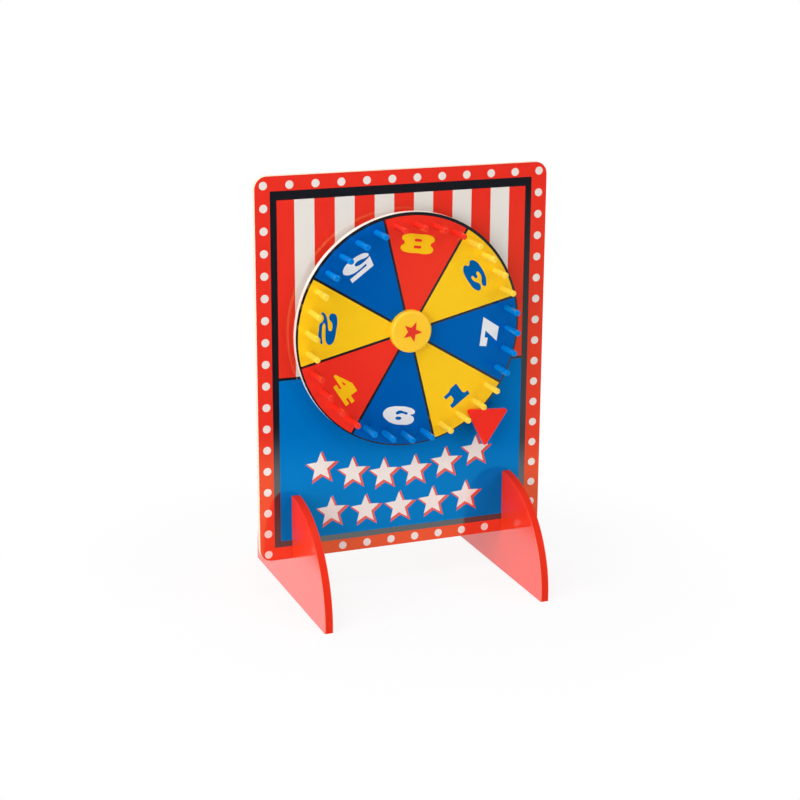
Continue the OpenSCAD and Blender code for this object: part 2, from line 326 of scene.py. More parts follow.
def coated(name, colour, mottle, smears, ripple, body=None):
    """A surface with colour mottle, gloss smears and a rippled skin on one Principled shader.

    The body's values go straight to the shader's sockets of the same names.
    """
    material = bpy.data.materials.new(name)
    material.use_nodes = True
    link = material.node_tree.links.new
    shader = material.node_tree.nodes["Principled BSDF"]
    for label, value in (body or {}).items():
        shader.inputs[label].default_value = value
    tint = use_group(material, mottle_group, {"Colour": colour, **mottle})
    gloss = use_group(material, smears_group, smears)
    skin = use_group(material, ripple_group, ripple)
    bump = place_node(material.node_tree, "ShaderNodeBump", {"Strength": 1.0, "Distance": 1.0})
    link(tint.outputs["Colour"], shader.inputs["Base Color"])
    link(gloss.outputs["Roughness"], shader.inputs["Roughness"])
    link(skin.outputs["Height"], bump.inputs["Height"])
    link(bump.outputs["Normal"], shader.inputs["Normal"])
    return material


# Finishes

NEUTRAL_SHEEN = (1.0, 1.0, 1.0, 1)
WARM_SHEEN = (1.0, 0.85, 0.25, 1)
COOL_SHEEN = (0.03, 0.65, 1.0, 1)
PLAIN_FILM = 1.5
DENSE_FILM = 1.65
FOOT_RIM_TONE = (0.84, 0.84, 1.0, 1)


def laminate(name, colour, sheen=NEUTRAL_SHEEN, film=PLAIN_FILM):
    """Ink on paper under one clear glossy film of the given density, which mirrors in a tint."""
    return coated(
        name,
        colour,
        mottle={"Patch": 0.05, "Patch Scale": 18, "Fleck": 0.05, "Fleck Scale": 1400},
        smears={"Roughness": 0.07, "Smear": 0.05, "Scale": 9},
        ripple={"Depth": 0.003 * MM, "Scale": 220},
        body={"Specular IOR Level": 1.0, "Specular Tint": sheen, "IOR": film},
    )


def lacquer(name, colour, rim_tone, painted_highlight):
    """Paint on a foot, with a deeper satin rim and a pale painted highlight along its edges.

    The gloss film on its faces is dulled towards the top, and the painted highlight fades there too.
    """
    material = coated(
        name,
        colour,
        mottle={"Patch": 0.06, "Patch Scale": 25, "Fleck": 0.02, "Fleck Scale": 1800},
        smears={"Roughness": 0.45, "Smear": 0.10, "Scale": 12},
        ripple={"Depth": 0.004 * MM, "Scale": 260},
        body={"Specular IOR Level": 0.12, "Coat Roughness": 0.03, "Coat IOR": 1.72},
    )
    tree = material.node_tree
    shader = tree.nodes["Principled BSDF"]
    masks = use_group(material, foot_film_group, {})
    tree.links.new(masks.outputs["Film"], shader.inputs["Coat Weight"])
    paint = shader.inputs["Base Color"].links[0].from_socket
    # The rim gets a deeper tone, and the edges a pale colour that is a painted highlight.
    for mask, blend, tone in (("Rim", "MULTIPLY", rim_tone), ("Edge", "MIX", painted_highlight)):
        layer = place_node(tree, "ShaderNodeMix", data_type="RGBA", blend_type=blend)
        tree.links.new(masks.outputs[mask], layer.inputs[MIX_SHARE])
        tree.links.new(paint, layer.inputs[MIX_FIRST])
        layer.inputs[MIX_SECOND].default_value = tone
        paint = layer.outputs[MIX_RESULT]
    tree.links.new(paint, shader.inputs["Base Color"])
    return material


def moulded(name, colour, glow, shine=0.5, sheen=NEUTRAL_SHEEN):
    """Injection-moulded plastic, a little clear near its edges."""
    return coated(
        name,
        colour,
        mottle={"Patch": 0.08, "Patch Scale": 60, "Fleck": 0.03, "Fleck Scale": 1500},
        smears={"Roughness": 0.22, "Smear": 0.12, "Scale": 40},
        ripple={"Depth": 0.006 * MM, "Scale": 420},
        body={
            "Specular IOR Level": shine,
            "Specular Tint": sheen,
            "Subsurface Weight": glow,
            "Subsurface Scale": 2.0 * MM,
        },
    )


def sealed_core(name, colour):
    """Pressed fibreboard under a thin pale sealer."""
    return coated(
        name,
        colour,
        mottle={"Patch": 0.10, "Patch Scale": 30, "Fleck": 0.16, "Fleck Scale": 700},
        smears={"Roughness": 0.42, "Smear": 0.20, "Scale": 30},
        ripple={"Depth": 0.02 * MM, "Scale": 900},
    )


def plated(name, colour):
    """Bright zinc on small steel parts."""
    return coated(
        name,
        colour,
        mottle={"Patch": 0.20, "Patch Scale": 160, "Fleck": 0.12, "Fleck Scale": 1600},
        smears={"Roughness": 0.30, "Smear": 0.25, "Scale": 120},
        ripple={"Depth": 0.006 * MM, "Scale": 700},
        body={"Metallic": 1.0},
    )


RED = swatch(238, 49, 37)
YELLOW = swatch(255, 203, 28)
WHEEL_BLUE = swatch(0, 91, 175)
FIELD_BLUE = swatch(0, 114, 194)
PAPER_WHITE = swatch(234, 229, 221)
INK_BLACK = swatch(24, 26, 32)

border_red = laminate("border_red", RED, WARM_SHEEN)
tent_red = laminate("tent_red", RED, WARM_SHEEN)
paper_white = laminate("paper_white", PAPER_WHITE)
dot_white = laminate("dot_white", swatch(242, 232, 224), film=DENSE_FILM)
ink_black = laminate("ink_black", INK_BLACK, film=DENSE_FILM)
field_blue = laminate("field_blue", FIELD_BLUE, COOL_SHEEN)
segment_paints = {
    "red": laminate("segment_red", swatch(243, 48, 37), WARM_SHEEN),
    "yellow": laminate("segment_yellow", YELLOW, WARM_SHEEN),
    "blue": laminate("segment_blue", WHEEL_BLUE, COOL_SHEEN),
}
# Paint of the number on a segment of each colour
number_paints = {
    "red": laminate("number_yellow", swatch(255, 198, 24), WARM_SHEEN),
    "yellow": laminate("number_blue", swatch(0, 93, 170), COOL_SHEEN),
    "blue": laminate("number_white", swatch(236, 236, 236)),
}
shade_red = laminate("star_shade_red", swatch(232, 66, 44))

# The pale edge colour is a painted highlight.
foot_red = lacquer("foot_red", swatch(248, 48, 18), FOOT_RIM_TONE, painted_highlight=swatch(255, 136, 108))
board_core = sealed_core("board_core", swatch(246, 226, 198))
wheel_core = sealed_core("wheel_core", swatch(244, 238, 228))
peg_red = moulded("peg_red", swatch(240, 46, 34), glow=0.15, sheen=WARM_SHEEN)
peg_yellow = moulded("peg_yellow", swatch(255, 213, 64), glow=0.25)
peg_blue = moulded("peg_blue", swatch(0, 127, 212), glow=0.2, sheen=COOL_SHEEN)
cap_yellow = moulded("cap_yellow", swatch(255, 200, 40), glow=0.1, shine=0.35)
star_red = laminate("hub_star_red", swatch(232, 48, 30))
pointer_red = moulded("pointer_red", swatch(250, 42, 26), glow=0.05, shine=0.2)
nylon = moulded("white_nylon", swatch(238, 236, 228), glow=0.3)
zinc = plated("zinc_steel", swatch(196, 198, 202))

NODE_FINISHES = {
    "back_board": board_core,
    "board_print": border_red,
    "left_foot": foot_red,
    "right_foot": foot_red,
    "axle_bolt": zinc,
    "axle_back_washer": zinc,
    "axle_front_washer": zinc,
    "axle_clamp_nut": zinc,
    "slip_washer": nylon,
    "keeper_washer": zinc,
    "lock_nut": zinc,
    "pointer_sleeve": pointer_red,
    "wheel_disc": wheel_core,
    "wheel_print": ink_black,
    "wheel_bush": nylon,
    "pegs_red": peg_red,
    "pegs_yellow": peg_yellow,
    "pegs_blue": peg_blue,
    "hub_cap": cap_yellow,
    "hub_star": star_red,
    "pointer": pointer_red,
    "stem_washer": zinc,
    "stem_screw": zinc,
}


def finish_solids():
    """Gives every solid of the frame its finish."""
    for name, material in NODE_FINISHES.items():
        for holder in nodes[name].material_slots:
            holder.material = material


# Meshes and their places. Flat pieces are drawn with x to the right, y up and the face towards z


def stacked(name, stacks):
    """Mesh of closed bodies, each a stack of rows of points, lowest first, with a face at both ends."""
    shape = bmesh.new()
    for stack in stacks:
        rows = [[shape.verts.new(point) for point in row] for row in stack]
        for low_row, high_row in zip(rows, rows[1:]):
            for i in range(len(low_row)):
                j = (i + 1) % len(low_row)
                shape.faces.new((low_row[i], low_row[j], high_row[j], high_row[i]))
        shape.faces.new(rows[0][::-1])
        shape.faces.new(rows[-1])
    bmesh.ops.recalc_face_normals(shape, faces=shape.faces[:])
    mesh = bpy.data.meshes.new(name)
    shape.to_mesh(mesh)
    shape.free()
    return mesh


def plate(name, outlines, thickness):
    """Mesh of a thin plate with the given outlines, its back at z = 0."""
    heights = (0, thickness)
    return stacked(name, [[[(x, y, z) for x, y in outline] for z in heights] for outline in outlines])


def plain_mesh(piece):
    """Plain mesh of an object with its modifiers or its curve worked out. The object is removed."""
    bpy.context.scene.collection.objects.link(piece)
    shown = piece.evaluated_get(bpy.context.evaluated_depsgraph_get())
    mesh = bpy.data.meshes.new_from_object(shown)
    bpy.data.objects.remove(piece)
    return mesh


def add_piece(name, mesh, place, material, body):
    """Puts a mesh in its place on the object, with its finish and body."""
    mesh.transform(place)
    mesh.materials.clear()
    mesh.materials.append(material)
    piece = bpy.data.objects.new(name, mesh)
    bpy.context.scene.collection.objects.link(piece)
    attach(piece, body)
    return piece


def add_print(name, mesh, place, material):
    """Puts a printed piece on the board."""
    add_piece(name, mesh, place, material, "stand")


def on_board(layer):
    """Place on the board's face, round the middle of the design, above the given count of ink layers."""
    return Matrix.Translation((0, board_face_y - layer * INK_T, PRINT_MID_Z)) @ STAND_UP


def on_wheel(layer, turn=0.0):
    """Place on the wheel's face above the given count of ink layers, turned clockwise about the axle."""
    middle = Matrix.Translation((axle_x, wheel_face_y - layer * INK_T, axle_z))
    return middle @ STAND_UP @ Matrix.Rotation(-turn, 4, "Z")


def by_tree(name, tree, sockets):
    """Plain mesh that a geometry tree makes with the given values."""
    piece = bpy.data.objects.new(name, bpy.data.meshes.new(name))
    modifier = piece.modifiers.new(name, "NODES")
    modifier.node_group = tree
    for item in tree.interface.items_tree:
        if item.in_out == "INPUT" and item.name in sockets:
            modifier[item.identifier] = sockets[item.name]
    return plain_mesh(piece)


def end_tree(tree, given, result, instances):
    """Closes a geometry tree: real meshes with the given material."""
    real = place_node(tree, "GeometryNodeRealizeInstances")
    finish = place_node(tree, "GeometryNodeSetMaterial")
    tree.links.new(instances, real.inputs["Geometry"])
    tree.links.new(real.outputs["Geometry"], finish.inputs["Geometry"])
    tree.links.new(given.outputs["Material"], finish.inputs["Material"])
    tree.links.new(finish.outputs["Geometry"], result.inputs["Geometry"])


# Points inside a grid have this many neighbours, and those on its edge have fewer
INNER_NEIGHBOURS = 4


def make_dot_border_tree():
    """Round dots along the four sides of a rectangle, with a gap left and right below a height."""
    inputs = [
        ("Columns", COUNT, 12),
        ("Rows", COUNT, 18),
        ("Width", NUMBER, 0.28),
        ("Height", NUMBER, 0.36),
        ("Dot Radius", NUMBER, 0.004),
        ("Gap Start", NUMBER, 0.1),
        ("Gap End", NUMBER, 0.12),
        ("Gap Height", NUMBER, -0.1),
        ("Thickness", NUMBER, INK_T),
        ("Material", MATERIAL, None),
    ]
    tree, given, result = open_group("dot_border", "GeometryNodeTree", inputs, [("Geometry", GEOMETRY)])
    link = tree.links.new
    grid = place_node(tree, "GeometryNodeMeshGrid")
    feed(tree, given, grid, {"Size X": "Width", "Size Y": "Height"})
    feed(tree, given, grid, {"Vertices X": "Columns", "Vertices Y": "Rows"})
    neighbours = place_node(tree, "GeometryNodeInputMeshVertexNeighbors")
    on_edge = place_node(tree, "FunctionNodeCompare", data_type="INT", operation="LESS_THAN")
    link(neighbours.outputs["Vertex Count"], on_edge.inputs[COMPARE_FIRST])
    on_edge.inputs[COMPARE_SECOND].default_value = INNER_NEIGHBOURS
    place = place_node(tree, "GeometryNodeInputPosition")
    parts = place_node(tree, "ShaderNodeSeparateXYZ")
    link(place.outputs["Position"], parts.inputs["Vector"])
    sideways = place_node(tree, "ShaderNodeMath", operation="ABSOLUTE")
    link(parts.outputs["X"], sideways.inputs[0])
    clear = None
    for value, label, keeps in (
        (sideways.outputs[0], "Gap Start", "LESS_THAN"),
        (sideways.outputs[0], "Gap End", "GREATER_THAN"),
        (parts.outputs["Y"], "Gap Height", "GREATER_THAN"),
    ):
        outside = place_node(tree, "FunctionNodeCompare", data_type="FLOAT", operation=keeps)
        link(value, outside.inputs[0])
        link(given.outputs[label], outside.inputs[1])
        if clear is None:
            clear = outside.outputs["Result"]
        else:
            either = place_node(tree, "FunctionNodeBooleanMath", operation="OR")
            link(clear, either.inputs[0])
            link(outside.outputs["Result"], either.inputs[1])
            clear = either.outputs["Boolean"]
    both = place_node(tree, "FunctionNodeBooleanMath", operation="AND")
    link(on_edge.outputs["Result"], both.inputs[0])
    link(clear, both.inputs[1])
    dot = place_node(tree, "GeometryNodeMeshCylinder", {"Vertices": DOT_STEPS})
    feed(tree, given, dot, {"Radius": "Dot Radius", "Depth": "Thickness"})
    spread = place_node(tree, "GeometryNodeInstanceOnPoints")
    link(grid.outputs["Mesh"], spread.inputs["Points"])
    link(both.outputs["Boolean"], spread.inputs["Selection"])
    link(dot.outputs["Mesh"], spread.inputs["Instance"])
    end_tree(tree, given, result, spread.outputs["Instances"])
    return tree


def make_stripe_tree():
    """Upright bars in a row, side by side at an even pitch."""
    inputs = [
        ("Count", COUNT, 6),
        ("Pitch", NUMBER, 0.04),
        ("Width", NUMBER, 0.02),
        ("Height", NUMBER, 0.17),
        ("Thickness", NUMBER, INK_T),
        ("Material", MATERIAL, None),
    ]
    tree, given, result = open_group("stripe_row", "GeometryNodeTree", inputs, [("Geometry", GEOMETRY)])
    link = tree.links.new
    size = place_node(tree, "ShaderNodeCombineXYZ")
    feed(tree, given, size, {"X": "Width", "Y": "Height", "Z": "Thickness"})
    bar = place_node(tree, "GeometryNodeMeshCube")
    link(size.outputs["Vector"], bar.inputs["Size"])
    step = place_node(tree, "ShaderNodeCombineXYZ")
    link(given.outputs["Pitch"], step.inputs["X"])
    row = place_node(tree, "GeometryNodeMeshLine", mode="OFFSET")
    link(given.outputs["Count"], row.inputs["Count"])
    link(step.outputs["Vector"], row.inputs["Offset"])
    spread = place_node(tree, "GeometryNodeInstanceOnPoints")
    link(row.outputs["Mesh"], spread.inputs["Points"])
    link(bar.outputs["Mesh"], spread.inputs["Instance"])
    end_tree(tree, given, result, spread.outputs["Instances"])
    return tree


def make_star_row_tree():
    """Stars in a row that rises towards both its ends."""
    inputs = [
        ("Count", COUNT, 6),
        ("Pitch", NUMBER, 0.03),
        ("Rise", NUMBER, 0.01),
        ("Points", COUNT, 5),
        ("Outer Radius", NUMBER, 0.016),
        ("Inner Radius", NUMBER, 0.007),
        ("Thickness", NUMBER, INK_T),
        ("Material", MATERIAL, None),
    ]
    tree, given, result = open_group("star_row", "GeometryNodeTree", inputs, [("Geometry", GEOMETRY)])
    link = tree.links.new
    star = place_node(tree, "GeometryNodeCurveStar", {"Twist": 0.0})
    feed(tree, given, star, {name: name for name in ("Points", "Outer Radius", "Inner Radius")})
    upright = place_node(tree, "GeometryNodeTransform", {"Rotation": (0, 0, math.radians(90))})
    link(star.outputs["Curve"], upright.inputs["Geometry"])
    filled = place_node(tree, "GeometryNodeFillCurve", mode="NGONS")
    link(upright.outputs["Geometry"], filled.inputs["Curve"])
    raised = place_node(tree, "GeometryNodeExtrudeMesh", mode="FACES")
    link(filled.outputs["Mesh"], raised.inputs["Mesh"])
    link(given.outputs["Thickness"], raised.inputs["Offset Scale"])
    underside = place_node(tree, "GeometryNodeFlipFaces")
    link(filled.outputs["Mesh"], underside.inputs["Mesh"])
    closed = place_node(tree, "GeometryNodeJoinGeometry")
    link(raised.outputs["Mesh"], closed.inputs["Geometry"])
    link(underside.outputs["Mesh"], closed.inputs["Geometry"])
    welded = place_node(tree, "GeometryNodeMergeByDistance", {"Distance": INK_T / 10})
    link(closed.outputs["Geometry"], welded.inputs["Geometry"])
    step = place_node(tree, "ShaderNodeCombineXYZ")
    link(given.outputs["Pitch"], step.inputs["X"])
    row = place_node(tree, "GeometryNodeMeshLine", mode="OFFSET")
    link(given.outputs["Count"], row.inputs["Count"])
    link(step.outputs["Vector"], row.inputs["Offset"])
    index = place_node(tree, "GeometryNodeInputIndex")
    last = place_node(tree, "ShaderNodeMath", operation="SUBTRACT")
    last.inputs[1].default_value = 1.0
    link(given.outputs["Count"], last.inputs[0])
    share = place_node(tree, "ShaderNodeMath", operation="DIVIDE")
    link(index.outputs["Index"], share.inputs[0])
    link(last.outputs[0], share.inputs[1])
    centred = place_node(tree, "ShaderNodeMath", operation="MULTIPLY_ADD")
    centred.inputs[1].default_value = 2.0
    centred.inputs[2].default_value = -1.0
    link(share.outputs[0], centred.inputs[0])
    squared = place_node(tree, "ShaderNodeMath", operation="MULTIPLY")
    for factor in squared.inputs[:2]:
        link(centred.outputs[0], factor)
    lift = place_node(tree, "ShaderNodeMath", operation="MULTIPLY")
    link(squared.outputs[0], lift.inputs[0])
    link(given.outputs["Rise"], lift.inputs[1])
    shift = place_node(tree, "ShaderNodeCombineXYZ")
    link(lift.outputs[0], shift.inputs["Y"])
    bowed = place_node(tree, "GeometryNodeSetPosition")
    link(row.outputs["Mesh"], bowed.inputs["Geometry"])
    link(shift.outputs["Vector"], bowed.inputs["Offset"])
    spread = place_node(tree, "GeometryNodeInstanceOnPoints")
    link(bowed.outputs["Geometry"], spread.inputs["Points"])
    link(welded.outputs["Geometry"], spread.inputs["Instance"])
    end_tree(tree, given, result, spread.outputs["Instances"])
    return tree


# Board print


def slotted_panel(left, right, low, high):
    """Outline of a panel of the print, with the slots that the feet pass through."""
    outline = [(left, low)]
    slot_top = slot_top_z - PRINT_MID_Z
    for foot in ("left_foot", "right_foot"):
        slot_left, slot_right = (corner.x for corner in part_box(foot))
        outline += [(slot_left, low), (slot_left, slot_top), (slot_right, slot_top), (slot_right, low)]
    return outline + [(right, low), (right, high), (left, high)]


def print_board():
    """The board's printed design: dots, black frame, tent stripes, blue field and stars."""
    slot_left, slot_right = (corner.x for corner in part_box("right_foot"))
    dots = by_tree(
        "border_dots",
        make_dot_border_tree(),
        {
            "Columns": DOT_COLUMNS,
            "Rows": DOT_ROWS,
            "Width": DOT_GRID_W,
            "Height": DOT_GRID_H,
            "Dot Radius": DOT_D / 2,
            "Gap Start": slot_left - DOT_D / 2,
            "Gap End": slot_right + DOT_D / 2,
            "Gap Height": slot_top_z - PRINT_MID_Z,
            "Thickness": INK_T,
            "Material": dot_white,
        },
    )
    half_ink = Matrix.Translation((0, 0, INK_T / 2))
    add_print("border_dots", dots, on_board(0) @ half_ink, dot_white)

    left = FRAME_LEFT + FRAME_SIDE_T
    right = FRAME_RIGHT - FRAME_SIDE_T
    frame_outline = slotted_panel(FRAME_LEFT, FRAME_RIGHT, FRAME_BOTTOM, FRAME_TOP)
    frame_mesh = plate("black_frame", [frame_outline], INK_T)
    add_print("black_frame", frame_mesh, on_board(0), ink_black)

    tent_low = HORIZON + HORIZON_T / 2
    tent_high = FRAME_TOP - FRAME_TOP_T
    tent_outline = [(left, tent_low), (right, tent_low), (right, tent_high), (left, tent_high)]
    tent_mesh = plate("tent_cloth", [tent_outline], INK_T)
    add_print("tent_cloth", tent_mesh, on_board(1), tent_red)

    stripes = by_tree(
        "tent_stripes",
        make_stripe_tree(),
        {
            "Count": WHITE_STRIPES,
            "Pitch": STRIPE_PITCH,
            "Width": STRIPE_W,
            "Height": tent_high - tent_low,
            "Thickness": INK_T,
            "Material": paper_white,
        },
    )
    first_stripe = STRIPES_SHIFT - (WHITE_STRIPES - 1) / 2 * STRIPE_PITCH
    to_first = Matrix.Translation((first_stripe, (tent_low + tent_high) / 2, 0))
    add_print("tent_stripes", stripes, on_board(2) @ half_ink @ to_first, paper_white)

    field_low = FRAME_BOTTOM + FRAME_BOTTOM_T
    field_outline = slotted_panel(left, right, field_low, HORIZON - HORIZON_T / 2)
    field_mesh = plate("blue_field", [field_outline], INK_T)
    add_print("blue_field", field_mesh, on_board(1), field_blue)

    star_tree = make_star_row_tree()
    rows = (
        ("top", TOP_ROW_STARS, TOP_ROW_MID, TOP_ROW_PITCH, TOP_ROW_RISE),
        ("low", LOW_ROW_STARS, LOW_ROW_MID, LOW_ROW_PITCH, LOW_ROW_RISE),
    )
    for row, count, middle, pitch, rise in rows:
        start = Vector((middle[0] - (count - 1) * pitch / 2, middle[1], 0))
        shade_shift = Vector((*STAR_SHADE_SHIFT, 0))
        layers = (
            (f"{row}_star_shades", 2, STAR_SHADE, start + shade_shift, shade_red),
            (f"{row}_stars", 3, 1.0, start, dot_white),
        )
        for name, layer, grow, at, material in layers:
            stars = by_tree(
                name,
                star_tree,
                {
                    "Count": count,
                    "Pitch": pitch,
                    "Rise": rise,
                    "Points": STAR_POINTS,
                    "Outer Radius": STAR_R * grow,
                    "Inner Radius": STAR_NOTCH_R * grow,
                    "Thickness": INK_T,
                    "Material": material,
                },
            )
            add_print(name, stars, on_board(layer) @ Matrix.Translation(at), material)


# Wheel print

CORNER = "VECTOR"


def oval(x, y, half_w, half_h):
    """Outline of a small round opening in a number."""
    return [(x - half_w, y), (x, y + half_h), (x + half_w, y), (x, y - half_h)]


def corners(*points):
    """Outline made of straight lines."""
    return [(x, y, CORNER) for x, y in points]


# Outlines of the wide numbers in millimetres, round the middle of each
NUMBER_OUTLINES = {
    "8": [
        [(0, 9.4), (12.2, 9.2), (16.6, 7.4), (17.7, 4.4), (14.2, 0.2), (17.7, -4.2), (15.6, -7.4),
         (11.5, -8.6), (0, -9.0), (-10.5, -8.8), (-14.6, -7.4), (-16.4, -4.2), (-12.8, 0.2),
         (-16.4, 4.8), (-15.4, 7.4), (-11.5, 9.2)],
        oval(0.4, 3.5, 4.0, 1.4),
        oval(0.5, -3.1, 4.0, 1.4),
    ],
    "3": [
        [(-15.2, 5.0), (-11.5, 8.3), (-3, 9.3), (7, 8.7), (13.4, 6.5), (15.4, 3.2), (12.4, 0),
         (15.5, -4), (11.5, -8.2), (3.5, -9.2), (-6, -8.2), (-12.6, -5.4), (-15.6, -2.2),
         (-13.2, -0.4), (-9.4, -1.4), (-5.8, -3.8), (-1.5, -4.7), (1.8, -3.5), (0.6, -1.6),
         (-2.2, -1.2), (-3.2, 0.4), (-2, 1.8), (0.8, 2.2), (1.8, 3.8), (-1.5, 4.9), (-5.4, 3.6),
         (-9, 1.6), (-13, 2)],
    ],
    "7": [
        corners((-14.5, 8.4), (14.7, 9.2), (6.3, -9.1), (-8.0, -9.1), (1.5, 4.7), (-5.6, 4.4),
                (-5.6, 0.9), (-14.3, 0.9)),
    ],
    "1": [
        [(-1.5, 8.8, CORNER), (5.8, 9.1, CORNER), (5.8, -2.4, CORNER), (7.4, -4.4),
         (11.0, -5.0, CORNER), (11.0, -9.2, CORNER), (-12.1, -9.2, CORNER), (-12.1, -5.0, CORNER),
         (-8.0, -4.4), (-5.4, -2.4, CORNER), (-5.4, 2.8, CORNER), (-12.0, 2.8, CORNER),
         (-12.0, 6.6, CORNER), (-5.4, 7.0)],
    ],
    "6": [
        [(0.5, 9.2), (9.0, 8.6), (14.6, 6.6), (16.4, 4.2), (15.2, 2.0), (12.4, 1.2), (15.4, -0.8),
         (16.6, -4.2), (13.2, -8.0), (4.0, -9.4), (-5.0, -8.7), (-12.6, -5.2), (-17.1, 0.8),
         (-14.2, 6.0), (-8.2, 8.4)],
        [(-3.7, 1.6), (-0.8, 4.7), (4.6, 4.2), (9.0, 2.0), (3.0, 2.2)],
        oval(-0.1, -3.0, 3.2, 1.7),
    ],
    "4": [
        corners((0.5, 9.6), (10, 9.6), (10, 1.8), (17.2, 1.8), (17.2, -1.9), (10, -1.9), (10, -4.1),
                (16, -4.1), (16, -8), (-8, -8), (-8, -4.1), (-2, -4.1), (-2, -1.9), (-16.8, -1.9),
                (-17.2, 0.4)),
        corners((-8.0, 1.5), (-2.4, 1.5), (-2.4, 4.3)),
    ],
    "2": [
        [(-15.3, 4.4), (-14.6, 6.9), (-10.4, 9.2), (0.4, 9.9), (9.6, 9.3), (14.4, 7.2), (15.4, 4.2),
         (12.9, 1.4), (7.9, -0.1), (1.2, -1.2), (-3.8, -2.1), (-5.3, -3.3), (-3.8, -4.4),
         (1.2, -4.6), (7.1, -3.9), (11.2, -2.9), (15.0, -2.7), (14.6, -4.1), (10.4, -4.9),
         (8.3, -7.1), (2.1, -7.7), (-4.6, -7.5), (-6.3, -5.6), (-10.0, -4.4), (-12.9, -6.0),
         (-14.8, -7.7), (-15.6, -6.4), (-14.4, -3.9), (-11.3, -1.8), (-5.4, 0.2), (-0.4, 1.5),
         (1.9, 2.9), (1.6, 4.8), (-1.7, 5.5), (-6.3, 4.4), (-9.2, 1.5), (-12.5, 0.7), (-14.8, 1.9)],
    ],
    "5": [
        [(-13, 9.2, CORNER), (13.8, 9.2, CORNER), (13.4, 4.9, CORNER), (-7.4, 4.9, CORNER),
         (-8, 2.7, CORNER), (0, 3.1), (8.2, 2.2), (14, -0.8), (15.5, -4), (12, -7.8), (2, -9.3),
         (-8, -8.2), (-13.8, -5.6), (-15.4, -2.7), (-11.8, -2), (-6, -3.7), (-1.8, -4.4), (2, -2.6),
         (-0.4, -0.7), (-6, 0.2), (-11.6, -0.1), (-15.2, -0.8, CORNER)],
    ],
}
NUMBER_CURVE_STEPS = 8


def number_mesh(number):
    """Mesh of one wide number, drawn flat and upright round its middle."""
    curve = bpy.data.curves.new("number_" + number, "CURVE")
    curve.dimensions = "2D"
    curve.fill_mode = "BOTH"
    curve.resolution_u = NUMBER_CURVE_STEPS
    curve.extrude = INK_T / 2
    for outline in NUMBER_OUTLINES[number]:
        spline = curve.splines.new("BEZIER")
        spline.bezier_points.add(len(outline) - 1)
        spline.use_cyclic_u = True
        for point, (x, y, *bend) in zip(spline.bezier_points, outline):
            point.co = (x * MM, y * MM, 0)
            point.handle_left_type = bend[0] if bend else "AUTO"
            point.handle_right_type = bend[0] if bend else "AUTO"
    mesh = plain_mesh(bpy.data.objects.new("number_" + number, curve))
    mesh.transform(Matrix.Translation((0, 0, INK_T / 2)))
    return mesh


def segment_outline(middle):
    """Outline of a wheel segment between two dividers, with its middle at the given clockwise angle.

    The print sits a little low on the wheel, so that the black line at the rim is wider at the top.
    """
    half = math.pi / len(SEGMENT_COLOURS)
    outline = []
    for radius, way in ((wheel_r - RIM_LINE_T, 1), (cap_r - HUB_TUCK, -1)):
        reach = half - math.asin(DIVIDER_T / 2 / radius)
        for step in range(ARC_STEPS + 1):
            angle = middle + way * reach * (1 - 2 * step / ARC_STEPS)
            outline.append((radius * math.sin(angle), radius * math.cos(angle) - PRINT_DROP))
    return outline


def segment_turn(index):
    """Clockwise angle from the top to the middle of a segment."""
    return FIRST_SEGMENT_TURN + index * 2 * math.pi / len(SEGMENT_COLOURS)


def print_wheel():
    """The wheel's printed face: coloured segments on black, and a number in each."""
    for colour, material in segment_paints.items():
        own = [segment_turn(i) for i, c in enumerate(SEGMENT_COLOURS) if c == colour]
        mesh = plate(f"{colour}_segments", [segment_outline(turn) for turn in own], INK_T)
        add_piece(f"{colour}_segments", mesh, on_wheel(0), material, "wheel")
    for i, number in enumerate(SEGMENT_NUMBERS):
        outwards = NUMBER_R + NUMBER_LIFTS.get(number, 0.0)
        middle = Matrix.Translation((NUMBER_SHIFTS[number] * MM, outwards, 0))
        foot_outwards = Matrix.Rotation(math.pi - NUMBER_TILTS.get(number, 0.0), 4, "Z")
        place = on_wheel(1, segment_turn(i)) @ middle @ foot_outwards
        material = number_paints[SEGMENT_COLOURS[i]]
        add_piece(f"number_{number}", number_mesh(number), place, material, "wheel")


# Fasteners at the back of the board, drawn with their heads towards z

BOLT_D = 6 * MM
BOLT_TIP = 0.8 * MM
BOLT_CROWN = 0.94
BOLT_CROWN_SLOPE = math.tan(math.radians(30))
SCREW_D = 2.5 * MM
SCREW_TIP_D = SCREW_D / 4
# Shares of the pan head's radius and height, from its seat up, and the share of its flat top
PAN_HEAD_PROFILE = ((1.0, 0.0), (1.0, 0.4), (0.95, 0.66), (0.82, 0.86), (0.60, 0.97))
PAN_HEAD_TOP = 0.35
CROSS_SPAN = 3.6 * MM
CROSS_T = 0.85 * MM
CROSS_DEPTH = 1.3 * MM
CROSS_TAPER = 0.6
TURN_STEPS = 72
SHARP_EDGE = math.radians(32)


def turned(name, rings):
    """Mesh of a turned part. Each ring gives a radius and a height for an angle round the axis."""
    rows = []
    for ring in rings:
        row = []
        for step in range(TURN_STEPS):
            angle = 2 * math.pi * step / TURN_STEPS
            radius, height = ring(angle)
            row.append((radius * math.cos(angle), radius * math.sin(angle), height))
        rows.append(row)
    return stacked(name, [rows])


def even(radius, height):
    """Ring of one radius at one height."""
    return lambda angle: (radius, height)


def soften(mesh):
    """Smooth shading between the sharp edges of a mesh."""
    mesh.shade_smooth()
    mesh.set_sharp_from_angle(angle=SHARP_EDGE)
    return mesh


def pointing_back(node):
    """Place of a fastener that is drawn along z, on the axis of its solid, with its head at the back."""
    low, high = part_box(node)
    axis = Matrix.Translation(((low.x + high.x) / 2, 0, (low.z + high.z) / 2))
    return axis @ Matrix.Rotation(-math.pi / 2, 4, "X")


